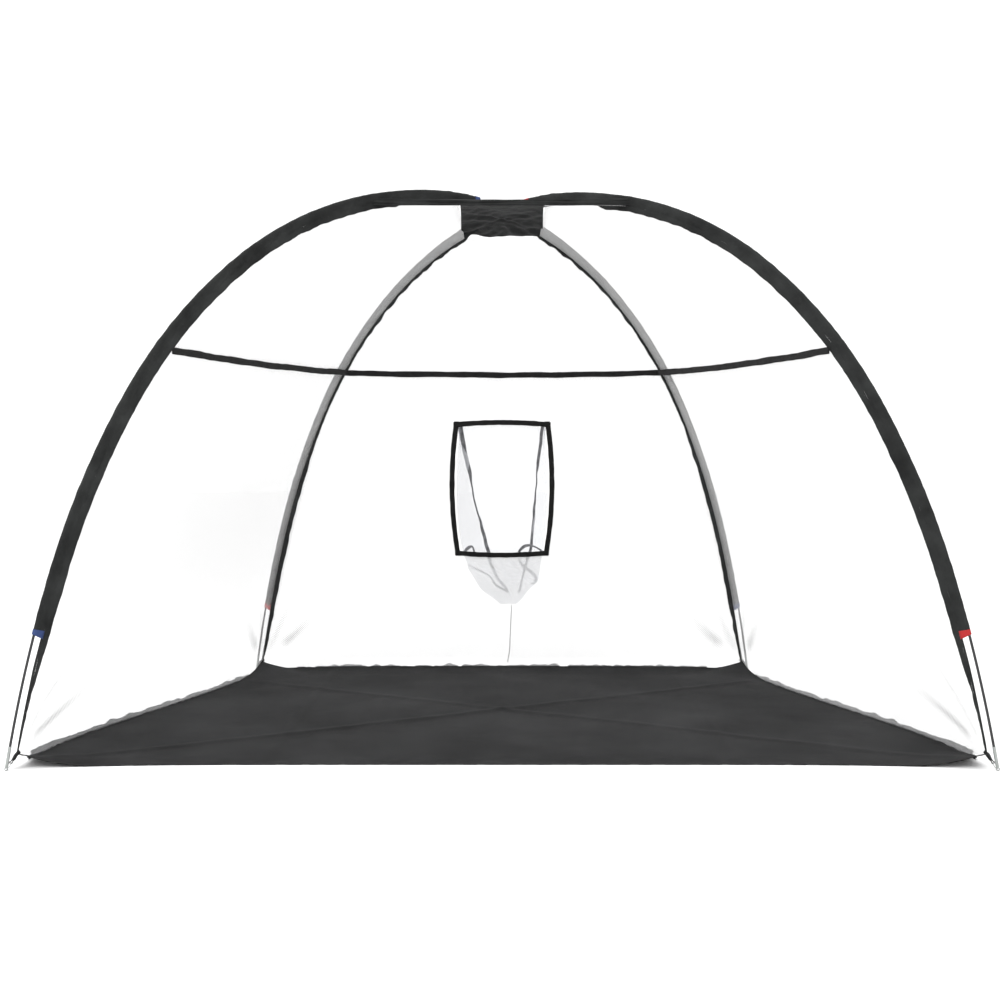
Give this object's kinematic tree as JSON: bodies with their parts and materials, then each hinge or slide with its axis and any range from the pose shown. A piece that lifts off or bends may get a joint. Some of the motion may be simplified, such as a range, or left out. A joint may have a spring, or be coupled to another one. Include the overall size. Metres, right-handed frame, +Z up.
{
  "type": "golf chipping net",
  "caption": "Free-standing dome practice net with crossing bent poles, white net walls, ground sheet and a framed target pocket.",
  "frame": {"origin": "on the ground at the middle of the four pole feet", "axes": "+X to the right seen from the open front, +Y to the back wall, +Z up"},
  "size_m": [3.5714, 2.1201, 2.2304],
  "materials": {
    "black_fibreglass": "smooth pultruded fibreglass rod, slight gloss",
    "zinc_steel": "dull bright zinc plating",
    "ring_steel": "bright zinc-plated wire",
    "elastic_cord": "braided sleeve over rubber strands",
    "blue_binding": "woven polyester binding",
    "red_binding": "woven polyester binding",
    "white_netting": "fine white knitted polyester mesh, see-through",
    "white_pocket_mesh": "fine bluish-white mesh, see-through",
    "black_webbing": "flat woven polypropylene webbing",
    "grey_tape": "thin woven binding tape",
    "dark_cord": "thin braided cord",
    "black_ground_sheet": "coated woven polyester, soft sheen",
    "black_oxford": "black oxford-weave polyester, soft sheen"
  },
  "bodies": {
    "net_and_poles": {"back_floor_skirt": "black_ground_sheet", "back_left_border_strip": "black_oxford", "back_left_pole_sleeve": "black_oxford", "back_right_border_strip": "black_oxford", "back_right_pole_sleeve": "black_oxford", "back_wall_net": "white_netting", "blue_pole_ferrules": "zinc_steel", "blue_pole_section_1": "black_fibreglass", "blue_pole_section_2": "black_fibreglass", "blue_pole_section_3": "black_fibreglass", "blue_pole_section_4": "black_fibreglass", "blue_pole_section_5": "black_fibreglass", "blue_pole_section_6": "black_fibreglass", "blue_pole_section_7": "black_fibreglass", "blue_pole_section_8": "black_fibreglass", "blue_pole_section_9": "black_fibreglass", "blue_pole_shock_cord": "elastic_cord", "blue_sleeve_tabs": "blue_binding", "corner_webbing_tails": "black_webbing", "crown_patch": "black_oxford", "floor_sheet": "black_ground_sheet", "front_left_border_strip": "black_oxford", "front_left_pole_sleeve": "black_oxford", "front_right_border_strip": "black_oxford", "front_right_pole_sleeve": "black_oxford", "front_visor": "black_oxford", "left_floor_skirt": "black_ground_sheet", "left_wall_net": "white_netting", "pocket_pull_cord": "dark_cord", "pocket_seam_tapes": "grey_tape", "pole_end_tubes": "zinc_steel", "pull_cord_knot": "dark_cord", "red_pole_ferrules": "zinc_steel", "red_pole_section_1": "black_fibreglass", "red_pole_section_2": "black_fibreglass", "red_pole_section_3": "black_fibreglass", "red_pole_section_4": "black_fibreglass", "red_pole_section_5": "black_fibreglass", "red_pole_section_6": "black_fibreglass", "red_pole_section_7": "black_fibreglass", "red_pole_section_8": "black_fibreglass", "red_pole_section_9": "black_fibreglass", "red_pole_shock_cord": "elastic_cord", "red_sleeve_tabs": "red_binding", "right_floor_skirt": "black_ground_sheet", "right_wall_net": "white_netting", "roof_net": "white_netting", "target_frame_webbing": "black_webbing", "target_pocket_net": "white_pocket_mesh", "wall_strap": "black_webbing"},
    "front_left_pin": {"front_left_ground_pin": "zinc_steel"},
    "front_left_ring": {"front_left_corner_ring": "ring_steel"},
    "front_right_pin": {"front_right_ground_pin": "zinc_steel"},
    "front_right_ring": {"front_right_corner_ring": "ring_steel"},
    "back_left_pin": {"back_left_ground_pin": "zinc_steel"},
    "back_left_ring": {"back_left_corner_ring": "ring_steel"},
    "back_right_pin": {"back_right_ground_pin": "zinc_steel"},
    "back_right_ring": {"back_right_corner_ring": "ring_steel"}
  },
  "joints": [
    {"name": "front_left_pin_turn", "type": "hinge", "parent": "net_and_poles", "child": "front_left_pin", "pos_m": [-1.74768, -0.99846, 0.01575], "axis": [0.1453, 0.0965, 0.9847], "range_deg": [-30, 30]},
    {"name": "front_left_ring_swivel", "type": "hinge", "parent": "net_and_poles", "child": "front_left_ring", "pos_m": [-1.74204, -0.99471, 0.01764], "axis": [0.5128, 0.3407, 0.788], "range_deg": [-25, 25]},
    {"name": "front_right_pin_turn", "type": "hinge", "parent": "net_and_poles", "child": "front_right_pin", "pos_m": [1.74761, -0.99841, 0.01574], "axis": [-0.1495, 0.0994, 0.9838], "range_deg": [-30, 30]},
    {"name": "front_right_ring_swivel", "type": "hinge", "parent": "net_and_poles", "child": "front_right_ring", "pos_m": [1.74201, -0.99469, 0.01764], "axis": [-0.5128, 0.3407, 0.788], "range_deg": [-25, 25]},
    {"name": "back_left_pin_turn", "type": "hinge", "parent": "net_and_poles", "child": "back_left_pin", "pos_m": [-1.25761, 0.99841, 0.01574], "axis": [0.1495, -0.0994, 0.9838], "range_deg": [-30, 30]},
    {"name": "back_left_ring_swivel", "type": "hinge", "parent": "net_and_poles", "child": "back_left_ring", "pos_m": [-1.25201, 0.99469, 0.01764], "axis": [0.5128, -0.3407, 0.788], "range_deg": [-25, 25]},
    {"name": "back_right_pin_turn", "type": "hinge", "parent": "net_and_poles", "child": "back_right_pin", "pos_m": [1.25768, 0.99846, 0.01575], "axis": [-0.1453, -0.0965, 0.9847], "range_deg": [-30, 30]},
    {"name": "back_right_ring_swivel", "type": "hinge", "parent": "net_and_poles", "child": "back_right_ring", "pos_m": [1.25204, 0.99471, 0.01764], "axis": [-0.5128, -0.3407, 0.788], "range_deg": [-25, 25]}
  ]
}
